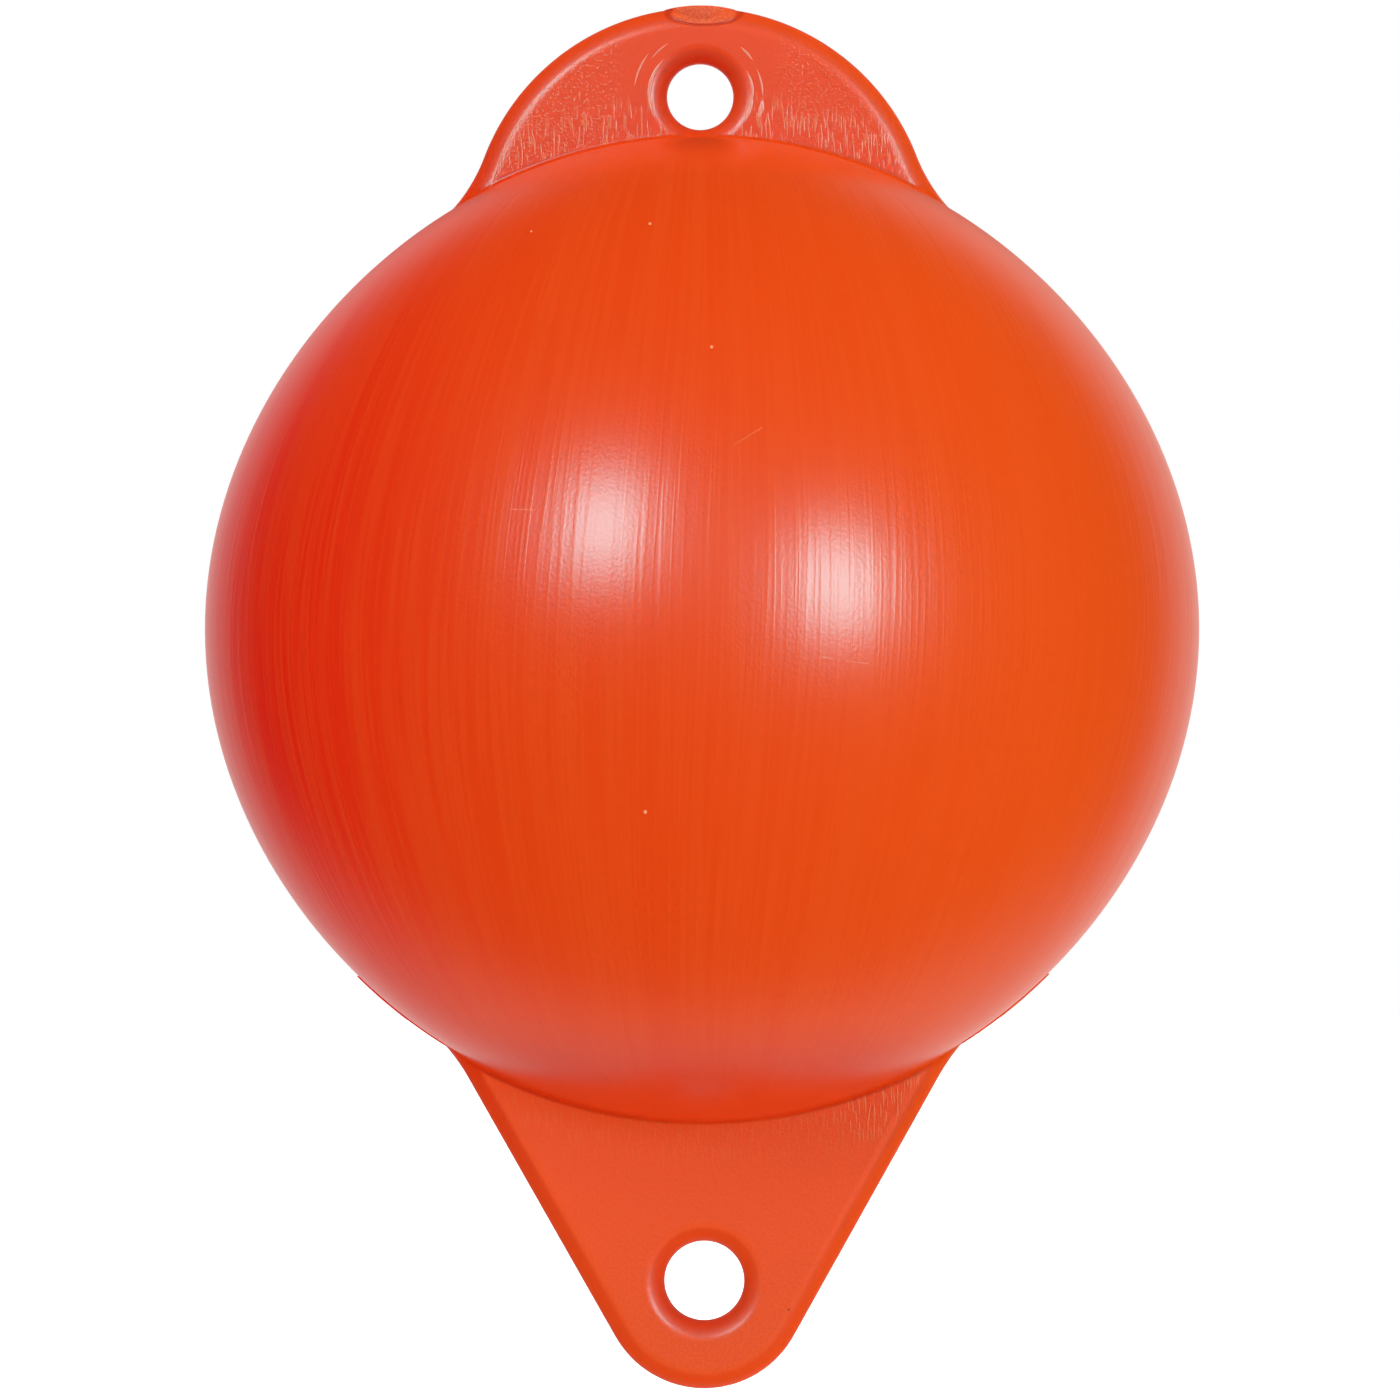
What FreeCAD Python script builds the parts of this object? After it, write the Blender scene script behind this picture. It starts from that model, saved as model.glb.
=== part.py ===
import FreeCAD, Part
import math
import os
import Sketcher
from types import SimpleNamespace

# Marker float: a ball with a rope lug above and below, blown as one piece and closed all round.
# The hollow inside can't be seen or reached, so the float is modelled solid.
# Lengths are in millimetres and angles in degrees. The sketches are drawn about the centre of
# the ball, with the parting plane at Y = 0 and the rope eyes bored along Y. The finished float
# is then moved down, so that its origin is the middle of the upper eye.

SIZES = {
    # ball: half its width, half its height, and how full its shoulders are
    "ball_radius": 75.0,
    "pole_radius": 74.2,
    "ball_fullness": 0.528,
    # both lugs: thickness, the flat left along the rounded rim, and how far they sink into the ball
    "lug_thickness": 7.0,
    "lug_land": 0.4,
    "lug_root_depth": 0.7,
    # upper lug: a broad arc that stands on top of the ball
    "upper_lug_reach": 19.7,
    "upper_lug_radius": 35.0,
    "upper_flare": 25.0,
    "upper_eye_diameter": 10.0,
    "upper_eye_margin": 8.5,
    "upper_eye_land": 1.0,
    # lower lug: a round tip at the end of a long taper
    "lower_lug_reach": 40.5,
    "lower_tip_radius": 15.5,
    "lower_taper": 29.4,
    "lower_flare": 30.0,
    "lower_eye_diameter": 12.0,
    "lower_eye_margin": 10.3,
    "lower_eye_land": 0.6,
    # fillet between the ball and the lugs
    "crease_radius": 0.8,
    # pinch-off ridges on the lower shoulders, from one angle below the equator to another
    "ridge_thickness": 1.2,
    "ridge_height": 0.3,
    "ridge_start": 45.0,
    "ridge_end": 64.0,
    # stub of the moulding's tail, trimmed close to the crown of the upper lug
    "stub_length": 10.9,
    "stub_width": 6.4,
    "stub_height": 0.15,
}

size = SimpleNamespace(**SIZES)

# Places that several features share, as a value and as the formula that keeps it in the document.
# The shoulder is where the ball's section is 45 degrees above or below the equator.
shoulder = (size.ball_radius + size.pole_radius) * (4 + 3 * size.ball_fullness) * math.sqrt(2) / 16
SHOULDER = "(sizes.ball_radius + sizes.pole_radius) * (4 + 3 * sizes.ball_fullness) * sqrt(2) / 16"
root_radius = shoulder - size.lug_root_depth
ROOT_RADIUS = f"{SHOULDER} - sizes.lug_root_depth"
crown = size.pole_radius + size.upper_lug_reach
CROWN = "sizes.pole_radius + sizes.upper_lug_reach"
tip = size.pole_radius + size.lower_lug_reach
TIP = "sizes.pole_radius + sizes.lower_lug_reach"
upper_eye_rise = crown - size.upper_eye_margin - size.upper_eye_diameter / 2
UPPER_EYE_RISE = f"{CROWN} - sizes.upper_eye_margin - sizes.upper_eye_diameter / 2"
lower_eye_drop = tip - size.lower_eye_margin - size.lower_eye_diameter / 2
LOWER_EYE_DROP = f"{TIP} - sizes.lower_eye_margin - sizes.lower_eye_diameter / 2"

# How sketch constraints name the sketch's origin and vertical axis, and the points of a curve.
ORIGIN = -1
VERTICAL = -2
START = 1
END = 2
CENTRE = 3

UP = FreeCAD.Vector(0, 0, 1)
SAME_PLACE = 1e-6
LEAST_CUT = 0.01

document = FreeCAD.newDocument("marker_float")


def make_sheet():
    """The driving sizes, each in a cell with an alias."""
    sheet = document.addObject("Spreadsheet::Sheet", "sizes")
    for row, (name, value) in enumerate(SIZES.items(), start=1):
        sheet.set(f"A{row}", name)
        sheet.set(f"B{row}", str(value))
        sheet.setAlias(f"B{row}", name)
    document.recompute()


def polar(radius, degrees, centre=(0.0, 0.0)):
    """The point of the sketch plane at a radius and direction from a centre."""
    angle = math.radians(degrees)
    return (centre[0] + radius * math.cos(angle), centre[1] + radius * math.sin(angle))


def bearing(start, end):
    """The direction from one point of the sketch plane to another, in degrees."""
    return math.degrees(math.atan2(end[1] - start[1], end[0] - start[0]))


def origin_plane(body, role):
    """One of the body's own origin planes."""
    return next(item for item in body.Origin.OriginFeatures if item.Role == role)


def add_sketch(body, name, role):
    """A sketch on one of the body's own origin planes."""
    sketch = body.newObject("Sketcher::SketchObject", name)
    sketch.AttachmentSupport = [(origin_plane(body, role), "")]
    sketch.MapMode = "FlatFace"
    return sketch


def add_line(sketch, start, end):
    """A line between two points of the sketch plane."""
    return sketch.addGeometry(Part.LineSegment(FreeCAD.Vector(*start, 0), FreeCAD.Vector(*end, 0)))


def add_circle(sketch, centre, radius, construction=False):
    """A whole circle."""
    return sketch.addGeometry(Part.Circle(FreeCAD.Vector(*centre, 0), UP, radius), construction)


def add_arc(sketch, centre, radius, start, end):
    """A circular arc, counter-clockwise between two directions in degrees."""
    circle = Part.Circle(FreeCAD.Vector(*centre, 0), UP, radius)
    return sketch.addGeometry(Part.ArcOfCircle(circle, math.radians(start), math.radians(end)))


def constrain(sketch, *arguments):
    """One geometric constraint."""
    return sketch.addConstraint(Sketcher.Constraint(*arguments))


def bind(sketch, name, formula, *arguments):
    """One measured constraint, tied to a formula of the sheet's sizes."""
    index = constrain(sketch, *arguments)
    sketch.renameConstraint(index, name)
    sketch.setExpression(f"Constraints.{name}", formula)


def add_sector(sketch, centre, inner_radius, outer_radius, start, end):
    """A sector of a ring between two radii and two directions: its two arcs and two ends."""
    inner = add_arc(sketch, centre, inner_radius, start, end)
    outer = add_arc(sketch, centre, outer_radius, start, end)
    first = add_line(sketch, polar(inner_radius, start, centre), polar(outer_radius, start, centre))
    last = add_line(sketch, polar(inner_radius, end, centre), polar(outer_radius, end, centre))
    constrain(sketch, "Coincident", inner, CENTRE, outer, CENTRE)
    for line, point in ((first, START), (last, END)):
        constrain(sketch, "Coincident", line, START, inner, point)
        constrain(sketch, "Coincident", line, END, outer, point)
        constrain(sketch, "PointOnObject", inner, CENTRE, line)
    return inner, outer, first, last


def draw_upper_lug(sketch, root):
    """Half of the upper lug: its crown, and the flare that brings it down to the root circle."""
    rise = crown - size.upper_lug_radius
    lug_reach = size.upper_lug_radius + size.upper_flare
    root_reach = root_radius + size.upper_flare
    flare_height = (root_reach**2 - lug_reach**2 + rise**2) / (2 * rise)
    flare_centre = (math.sqrt(root_reach**2 - flare_height**2), flare_height)
    crown_arc = add_arc(sketch, (0, rise), size.upper_lug_radius, bearing((0, rise), flare_centre), 90)
    flare = add_arc(sketch, flare_centre, size.upper_flare,
                    bearing(flare_centre, (0, rise)), bearing(flare_centre, (0, 0)))
    constrain(sketch, "PointOnObject", crown_arc, CENTRE, VERTICAL)
    constrain(sketch, "PointOnObject", crown_arc, END, VERTICAL)
    constrain(sketch, "Tangent", crown_arc, START, flare, START)
    constrain(sketch, "Tangent", flare, END, root)
    bind(sketch, "crown_rise", f"{CROWN} - sizes.upper_lug_radius",
         "DistanceY", ORIGIN, START, crown_arc, CENTRE, rise)
    bind(sketch, "crown_radius", "sizes.upper_lug_radius",
         "Radius", crown_arc, size.upper_lug_radius)
    bind(sketch, "upper_flare", "sizes.upper_flare", "Radius", flare, size.upper_flare)
    return crown_arc, flare


def draw_lower_lug(sketch, root):
    """Half of the lower lug: a round tip, a straight edge and the flare up to the root circle."""
    tip_centre = (0, size.lower_tip_radius - tip)
    outward = -size.lower_taper
    edge_distance = size.lower_tip_radius + tip_centre[1] * math.sin(math.radians(outward))
    flare_distance = edge_distance + size.lower_flare
    down_the_edge = math.sqrt((root_radius + size.lower_flare) ** 2 - flare_distance**2)
    flare_centre = polar(down_the_edge, outward - 90, polar(flare_distance, outward))
    joint = polar(size.lower_flare, outward + 180, flare_centre)
    tip_arc = add_arc(sketch, tip_centre, size.lower_tip_radius, -90, outward)
    edge = add_line(sketch, polar(size.lower_tip_radius, outward, tip_centre), joint)
    flare = add_arc(sketch, flare_centre, size.lower_flare,
                    bearing(flare_centre, (0, 0)), outward + 180)
    constrain(sketch, "PointOnObject", tip_arc, CENTRE, VERTICAL)
    constrain(sketch, "PointOnObject", tip_arc, START, VERTICAL)
    constrain(sketch, "Tangent", tip_arc, END, edge, START)
    constrain(sketch, "Tangent", edge, END, flare, END)
    constrain(sketch, "Tangent", flare, START, root)
    bind(sketch, "tip_drop", f"{TIP} - sizes.lower_tip_radius",
         "DistanceY", tip_arc, CENTRE, ORIGIN, START, -tip_centre[1])
    bind(sketch, "tip_radius", "sizes.lower_tip_radius", "Radius", tip_arc, size.lower_tip_radius)
    bind(sketch, "lower_flare", "sizes.lower_flare", "Radius", flare, size.lower_flare)
    bind(sketch, "edge_slope", "90deg - sizes.lower_taper * 1deg",
         "Angle", edge, math.radians(90 - size.lower_taper))
    return tip_arc, flare


def draw_lugs(body):
    """The right half of both lugs' outline, joined by a web that lies inside the ball."""
    sketch = add_sketch(body, "LugOutline", "XZ_Plane")
    root = add_circle(sketch, (0, 0), root_radius, construction=True)
    constrain(sketch, "Coincident", root, CENTRE, ORIGIN, START)
    bind(sketch, "root_radius", ROOT_RADIUS, "Radius", root, root_radius)
    crown_arc, upper_flare = draw_upper_lug(sketch, root)
    tip_arc, lower_flare = draw_lower_lug(sketch, root)
    web = add_line(sketch, polar(root_radius, 45), polar(root_radius, -45))
    middle = add_line(sketch, (0, crown), (0, -tip))
    constrain(sketch, "Coincident", web, START, upper_flare, END)
    constrain(sketch, "Coincident", web, END, lower_flare, START)
    constrain(sketch, "Coincident", middle, START, crown_arc, END)
    constrain(sketch, "Coincident", middle, END, tip_arc, START)
    return sketch


def draw_eyes(body):
    """The bores of both rope eyes, on the axis of the float."""
    sketch = add_sketch(body, "EyeBores", "XZ_Plane")
    upper = add_circle(sketch, (0, upper_eye_rise), size.upper_eye_diameter / 2)
    lower = add_circle(sketch, (0, -lower_eye_drop), size.lower_eye_diameter / 2)
    constrain(sketch, "PointOnObject", upper, CENTRE, VERTICAL)
    constrain(sketch, "PointOnObject", lower, CENTRE, VERTICAL)
    bind(sketch, "upper_rise", UPPER_EYE_RISE,
         "DistanceY", ORIGIN, START, upper, CENTRE, upper_eye_rise)
    bind(sketch, "lower_drop", LOWER_EYE_DROP,
         "DistanceY", lower, CENTRE, ORIGIN, START, lower_eye_drop)
    bind(sketch, "upper_bore", "sizes.upper_eye_diameter",
         "Diameter", upper, size.upper_eye_diameter)
    bind(sketch, "lower_bore", "sizes.lower_eye_diameter",
         "Diameter", lower, size.lower_eye_diameter)
    return sketch


def draw_stub(body):
    """The section of the moulding's tail: a lens that lies along the parting plane."""
    sketch = add_sketch(body, "StubSection", "XY_Plane")
    sketch.AttachmentOffset = FreeCAD.Placement(UP * (crown - size.lug_thickness / 2),
                                                FreeCAD.Rotation())
    sketch.setExpression("AttachmentOffset.Base.z", f"{CROWN} - sizes.lug_thickness / 2")
    radius = (size.stub_length**2 + size.stub_width**2) / (4 * size.stub_width)
    aside = radius - size.stub_width / 2
    point = bearing((0, -aside), (size.stub_length / 2, 0))
    back = add_arc(sketch, (0, -aside), radius, point, 180 - point)
    front = add_arc(sketch, (0, aside), radius, 180 + point, 360 - point)
    constrain(sketch, "PointOnObject", back, CENTRE, VERTICAL)
    constrain(sketch, "PointOnObject", front, CENTRE, VERTICAL)
    constrain(sketch, "PointOnObject", back, START, ORIGIN)
    constrain(sketch, "Coincident", back, START, front, END)
    constrain(sketch, "Coincident", back, END, front, START)
    constrain(sketch, "Equal", back, front)
    bind(sketch, "stub_length", "sizes.stub_length",
         "DistanceX", back, END, back, START, size.stub_length)
    bind(sketch, "stub_curve", "(sizes.stub_length ^ 2 + sizes.stub_width ^ 2) / (4 * sizes.stub_width)",
         "Radius", back, radius)
    return sketch


def draw_stub_trim(body):
    """What is trimmed off the tail: a ring sector just above the crown, wider than the stub."""
    sketch = add_sketch(body, "StubTrim", "XZ_Plane")
    rise = crown - size.upper_lug_radius
    inner_radius = size.upper_lug_radius + size.stub_height
    spread = 2 * math.degrees(math.asin(size.stub_length / (2 * size.upper_lug_radius)))
    spread_formula = "2 * asin(sizes.stub_length / (2 * sizes.upper_lug_radius))"
    inner, outer, right, left = add_sector(sketch, (0, rise), inner_radius,
                                           inner_radius + size.lug_thickness, 90 - spread, 90 + spread)
    constrain(sketch, "PointOnObject", inner, CENTRE, VERTICAL)
    bind(sketch, "trim_rise", f"{CROWN} - sizes.upper_lug_radius",
         "DistanceY", ORIGIN, START, inner, CENTRE, rise)
    bind(sketch, "trim_radius", "sizes.upper_lug_radius + sizes.stub_height",
         "Radius", inner, inner_radius)
    bind(sketch, "trim_reach", "sizes.upper_lug_radius + sizes.stub_height + sizes.lug_thickness",
         "Radius", outer, inner_radius + size.lug_thickness)
    bind(sketch, "trim_right", f"90deg - {spread_formula}",
         "Angle", right, math.radians(90 - spread))
    bind(sketch, "trim_left", f"90deg + {spread_formula}",
         "Angle", left, math.radians(90 + spread))
    return sketch


def draw_ball(body):
    """Half the section of the ball: two mirrored curves that meet at the equator.

    Each is a cubic whose inner control points lie on the tangents at its ends. Their fullness
    would be 0.552 on a circle, and a lower one draws the ball in a little at its shoulders.
    """
    sketch = add_sketch(body, "BallSection", "XZ_Plane")
    wide = size.ball_radius
    high = size.pole_radius
    full = size.ball_fullness
    control_points = [(wide, 0), (wide, high * full), (wide * full, high), (0, high)]
    curves = []
    for side in (1, -1):
        curve = Part.BSplineCurve()
        points = [FreeCAD.Vector(across, side * up, 0) for across, up in control_points]
        curve.buildFromPolesMultsKnots(points, [4, 4], [0, 1], False, 3)
        curves.append(sketch.addGeometry(curve))
        sketch.exposeInternalGeometry(curves[-1])
    north, south = curves
    # the control points' own circles follow each curve in the sketch
    equator, low, high_up, pole = range(north + 1, north + 5)
    south_equator, south_low, south_high_up, south_pole = range(south + 1, south + 5)
    constrain(sketch, "PointOnObject", equator, CENTRE, ORIGIN)
    constrain(sketch, "PointOnObject", pole, CENTRE, VERTICAL)
    constrain(sketch, "Vertical", equator, CENTRE, low, CENTRE)
    constrain(sketch, "Horizontal", pole, CENTRE, high_up, CENTRE)
    bind(sketch, "half_width", "sizes.ball_radius",
         "DistanceX", ORIGIN, START, equator, CENTRE, wide)
    bind(sketch, "half_height", "sizes.pole_radius",
         "DistanceY", ORIGIN, START, pole, CENTRE, high)
    bind(sketch, "low_fullness", "sizes.pole_radius * sizes.ball_fullness",
         "DistanceY", ORIGIN, START, low, CENTRE, high * full)
    bind(sketch, "high_fullness", "sizes.ball_radius * sizes.ball_fullness",
         "DistanceX", ORIGIN, START, high_up, CENTRE, wide * full)
    constrain(sketch, "Coincident", equator, CENTRE, south_equator, CENTRE)
    constrain(sketch, "Symmetric", low, CENTRE, south_low, CENTRE, ORIGIN)
    constrain(sketch, "Symmetric", high_up, CENTRE, south_high_up, CENTRE, ORIGIN)
    constrain(sketch, "Symmetric", pole, CENTRE, south_pole, CENTRE, ORIGIN)
    axis_line = add_line(sketch, (0, -high), (0, high))
    constrain(sketch, "Coincident", axis_line, START, south, END)
    constrain(sketch, "Coincident", axis_line, END, north, END)
    return sketch


def draw_ridge(body):
    """The right pinch-off ridge: a strip of the parting plane along the ball's lower shoulder."""
    sketch = add_sketch(body, "RidgeOutline", "XZ_Plane")
    outer_radius = shoulder + size.ridge_height
    inner, outer, foot, top = add_sector(sketch, (0, 0), root_radius, outer_radius,
                                         -size.ridge_end, -size.ridge_start)
    constrain(sketch, "Coincident", inner, CENTRE, ORIGIN, START)
    bind(sketch, "ridge_root", ROOT_RADIUS, "Radius", inner, root_radius)
    bind(sketch, "ridge_radius", f"{SHOULDER} + sizes.ridge_height", "Radius", outer, outer_radius)
    bind(sketch, "ridge_end", "-sizes.ridge_end * 1deg",
         "Angle", foot, math.radians(-size.ridge_end))
    bind(sketch, "ridge_start", "-sizes.ridge_start * 1deg",
         "Angle", top, math.radians(-size.ridge_start))
    return sketch


def add_plate(body, name, profile, formula, thickness):
    """A pad to both sides of the parting plane."""
    pad = body.newObject("PartDesign::Pad", name)
    pad.Profile = profile
    pad.SideType = "Symmetric"
    pad.Length = thickness
    pad.setExpression("Length", formula)
    document.recompute()
    return pad


def add_cut_through(body, name, profile):
    """A cut right through, to both sides of the parting plane."""
    pocket = body.newObject("PartDesign::Pocket", name)
    pocket.Profile = profile
    pocket.Type = "ThroughAll"
    pocket.SideType = "Symmetric"
    document.recompute()
    check_cut(pocket)
    return pocket


def add_ball(body):
    """The ball's section turned right round the float's axis."""
    ball = body.newObject("PartDesign::Revolution", "Ball")
    ball.Profile = draw_ball(body)
    ball.ReferenceAxis = (ball.Profile[0], ["V_Axis"])
    ball.Angle = 360
    document.recompute()
    return ball


def add_mirror(body, name, feature):
    """A feature repeated on the other side of the float's axis."""
    mirror = body.newObject("PartDesign::Mirrored", name)
    mirror.Originals = [feature]
    mirror.MirrorPlane = (origin_plane(body, "YZ_Plane"), [""])
    body.Tip = mirror
    document.recompute()
    return mirror


def add_fillet(body, name, base, test, formula):
    """A fillet on the edges of the base feature that pass a test."""
    edges = [f"Edge{number}" for number, edge in enumerate(base.Shape.Edges, start=1) if test(edge)]
    fillet = body.newObject("PartDesign::Fillet", name)
    fillet.Base = (base, edges)
    fillet.setExpression("Radius", formula)
    document.recompute()
    return fillet


def check_cut(feature):
    """Stop if a cutting feature took nothing away."""
    if feature.Shape.Volume > feature.BaseFeature.Shape.Volume - LEAST_CUT:
        raise RuntimeError(f"{feature.Name} cuts nothing")


def round_lugs(body, bored):
    """The rounded rims of the lugs, then the flared mouths of the eyes."""
    half = size.lug_thickness / 2

    def on_a_face(edge):
        """Whether all of an edge lies on the front of the lugs, or all of it on the back."""
        sides = [vertex.Y for vertex in edge.Vertexes]
        return abs(min(sides) - max(sides)) < SAME_PLACE and abs(abs(sides[0]) - half) < SAME_PLACE

    def is_rim(edge):
        return on_a_face(edge) and not edge.isClosed()

    def is_upper_mouth(edge):
        return on_a_face(edge) and edge.isClosed() and edge.CenterOfMass.z > 0

    def is_lower_mouth(edge):
        return on_a_face(edge) and edge.isClosed() and edge.CenterOfMass.z < 0

    rim = add_fillet(body, "LugRims", bored, is_rim, "(sizes.lug_thickness - sizes.lug_land) / 2")
    upper = add_fillet(body, "UpperEyeMouth", rim, is_upper_mouth,
                       "(sizes.lug_thickness - sizes.upper_eye_land) / 2")
    return add_fillet(body, "LowerEyeMouth", upper, is_lower_mouth,
                      "(sizes.lug_thickness - sizes.lower_eye_land) / 2")


def add_stub(body):
    """The stub of the moulding's tail on the crown, padded up and then trimmed to its height."""
    stub = body.newObject("PartDesign::Pad", "Stub")
    stub.Profile = draw_stub(body)
    stub.setExpression("Length", "sizes.lug_thickness")
    document.recompute()
    return add_cut_through(body, "StubTrimmed", draw_stub_trim(body))


def round_creases(body, ball):
    """The fillet all along the meeting of the ball and the lugs."""

    def is_ball_face(face):
        return face.Surface.TypeId == "Part::GeomSurfaceOfRevolution"

    def is_crease(edge):
        of_the_ball = [is_ball_face(face) for face in ball.Shape.ancestorsOfType(edge, Part.Face)]
        return any(of_the_ball) and not all(of_the_ball)

    return add_fillet(body, "Creases", ball, is_crease, "sizes.crease_radius")


def make_float():
    """The whole float: plate of both lugs, eyes, rims, stub, ball, creases and ridges."""
    body = document.addObject("PartDesign::Body", "float_body")
    body.Label = "float_body"
    half_plate = add_plate(body, "HalfPlate", draw_lugs(body), "sizes.lug_thickness", size.lug_thickness)
    add_mirror(body, "LugPlate", half_plate)
    bored = add_cut_through(body, "Eyes", draw_eyes(body))
    round_lugs(body, bored)
    add_stub(body)
    round_creases(body, add_ball(body))
    ridge = add_plate(body, "Ridge", draw_ridge(body), "sizes.ridge_thickness", size.ridge_thickness)
    add_mirror(body, "Ridges", ridge)
    body.setExpression("Placement.Base.z", f"-({UPPER_EYE_RISE})")
    document.recompute()
    return body


def check_document(body):
    """Stop if any object failed, or if the float isn't one valid solid."""
    for item in document.Objects:
        if "Invalid" in item.State or "Error" in item.State:
            raise RuntimeError(f"{item.Name} failed: {item.State}")
    if body.Shape.isNull() or not body.Shape.isValid() or len(body.Shape.Solids) != 1:
        raise RuntimeError(f"{body.Label} isn't one valid solid")


make_sheet()
float_body = make_float()
check_document(float_body)
os.makedirs("parts", exist_ok=True)
float_body.Shape.exportStep(f"parts/{float_body.Label}.step")
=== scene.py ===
import math

import bpy
import numpy as np
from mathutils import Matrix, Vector


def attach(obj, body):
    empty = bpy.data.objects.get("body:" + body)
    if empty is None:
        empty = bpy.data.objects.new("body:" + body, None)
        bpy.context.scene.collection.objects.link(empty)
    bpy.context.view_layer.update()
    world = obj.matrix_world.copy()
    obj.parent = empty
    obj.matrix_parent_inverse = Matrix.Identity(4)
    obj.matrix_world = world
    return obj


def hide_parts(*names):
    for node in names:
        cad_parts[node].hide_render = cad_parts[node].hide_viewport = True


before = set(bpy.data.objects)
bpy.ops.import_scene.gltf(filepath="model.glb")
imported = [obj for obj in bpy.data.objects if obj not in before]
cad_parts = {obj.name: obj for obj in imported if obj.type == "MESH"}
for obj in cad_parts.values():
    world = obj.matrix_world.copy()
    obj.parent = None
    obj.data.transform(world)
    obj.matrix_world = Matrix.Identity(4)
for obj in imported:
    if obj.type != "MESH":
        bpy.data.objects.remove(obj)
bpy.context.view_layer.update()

MM = 0.001
EYE_RISE = 80.4
BALL_CENTRE = Vector((0, 0, -EYE_RISE * MM))
BALL_RADIUS = 75.0

# The photograph: pixels to a millimetre at the ball's centre, and where that centre lies.
PHOTO_WIDTH = 1400
PIXELS_PER_MM = 6.617
PHOTO_CENTRE = (702.3, 629.3)
CAMERA_DISTANCE = 1.2
CAMERA_ROLL = math.radians(0.2)
SENSOR_WIDTH = 36

# The shape of the float, in millimetres about the ball's centre. It repeats the sizes of the part.
POLE_RADIUS = 74.2
FULLNESS = 0.528
ROOT_RADIUS = 72.94
HALF_THICKNESS = 3.5
RIM_FILLET = 3.3
CREASE = 0.8
CROWN_CENTRE = (0.0, 58.9)
CROWN_RADIUS = 35.0
CROWN_FLARE = 25.0
TIP_CENTRE = (0.0, -99.2)
TIP_RADIUS = 15.5
TIP_FLARE = 30.0
TAPER = math.radians(29.4)
UPPER_EYE = (80.4, 5.0, 3.0)
LOWER_EYE = (-98.4, 6.0, 3.2)

# Where each crease leaves the lug's flat face and where it crosses the parting plane, across and up.
CROWN_CORNER = (31.23, 66.72)
CROWN_END = (37.84, 63.19)
TIP_CORNER = (32.73, -65.97)
TIP_END = (39.67, -62.03)


def ball_table():
    """The ball's radius at each height angle, from its section's cubic curve."""
    t = np.linspace(0, 1, 6001)
    s = 1 - t
    across = BALL_RADIUS * (s**3 + 3 * s**2 * t + 3 * FULLNESS * s * t**2)
    up = POLE_RADIUS * (3 * FULLNESS * s**2 * t + 3 * s * t**2 + t**3)
    return np.arctan2(up, across), np.hypot(across, up)


BALL_ANGLES, BALL_RADII = ball_table()


def ball_radius(sine):
    """The ball's radius where the height angle has this sine."""
    return np.interp(np.arcsin(np.clip(np.abs(sine), 0, 1)), BALL_ANGLES, BALL_RADII)


def ball_field(p):
    """Height above the ball's surface."""
    length = np.linalg.norm(p, axis=-1)
    return length - ball_radius(p[..., 2] / length)


def crown_flare_centre():
    """Where the flare between the crown and the root circle is centred."""
    lug = CROWN_RADIUS + CROWN_FLARE
    root = ROOT_RADIUS + CROWN_FLARE
    height = (root**2 - lug**2 + CROWN_CENTRE[1] ** 2) / (2 * CROWN_CENTRE[1])
    return np.array([math.sqrt(root**2 - height**2), height])


EDGE_NORMAL = np.array([math.cos(TAPER), -math.sin(TAPER)])
EDGE_ALONG = np.array([math.sin(TAPER), math.cos(TAPER)])
EDGE_DISTANCE = TIP_RADIUS + TIP_CENTRE[1] * EDGE_NORMAL[1]


def tip_flare_centre():
    """Where the flare between the lower lug's edge and the root circle is centred."""
    away = EDGE_DISTANCE + TIP_FLARE
    down = math.sqrt((ROOT_RADIUS + TIP_FLARE) ** 2 - away**2)
    return away * EDGE_NORMAL - down * EDGE_ALONG


CROWN_FLARE_CENTRE = crown_flare_centre()
TIP_FLARE_CENTRE = tip_flare_centre()


def cross(a, b):
    """The flat cross product of two vectors."""
    return a[..., 0] * b[..., 1] - a[..., 1] * b[..., 0]


def outline_field(x, z):
    """Distance outside the outline of the lugs and of the root circle that joins them."""
    p = np.stack([np.abs(x), z], -1)
    root = np.hypot(p[..., 0], z) - ROOT_RADIUS
    crown = np.hypot(p[..., 0], z - CROWN_CENTRE[1]) - CROWN_RADIUS
    q = p - CROWN_FLARE_CENTRE
    first = np.array(CROWN_CENTRE) - CROWN_FLARE_CENTRE
    last = -CROWN_FLARE_CENTRE
    between = (cross(first, q) > 0) & (cross(q, last) > 0)
    upper = np.where(between, CROWN_FLARE - np.linalg.norm(q, axis=-1), np.minimum(root, crown))
    from_tip = p - np.array(TIP_CENTRE)
    tip = np.where(from_tip @ EDGE_ALONG < 0, np.linalg.norm(from_tip, axis=-1) - TIP_RADIUS,
                   p @ EDGE_NORMAL - EDGE_DISTANCE)
    q = p - TIP_FLARE_CENTRE
    first = -TIP_FLARE_CENTRE
    last = -EDGE_NORMAL
    between = (cross(first, q) > 0) & (cross(q, last) > 0)
    lower = np.where(between, TIP_FLARE - np.linalg.norm(q, axis=-1), np.minimum(root, tip))
    return np.where(z > 0, upper, lower)


def rounded_edge(outside, y, fillet):
    """Distance from a plate whose outline is at this distance and whose edge is rounded."""
    a = outside + fillet
    b = np.abs(y) - (HALF_THICKNESS - fillet)
    return np.hypot(np.maximum(a, 0), np.maximum(b, 0)) + np.minimum(np.maximum(a, b), 0) - fillet


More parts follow.
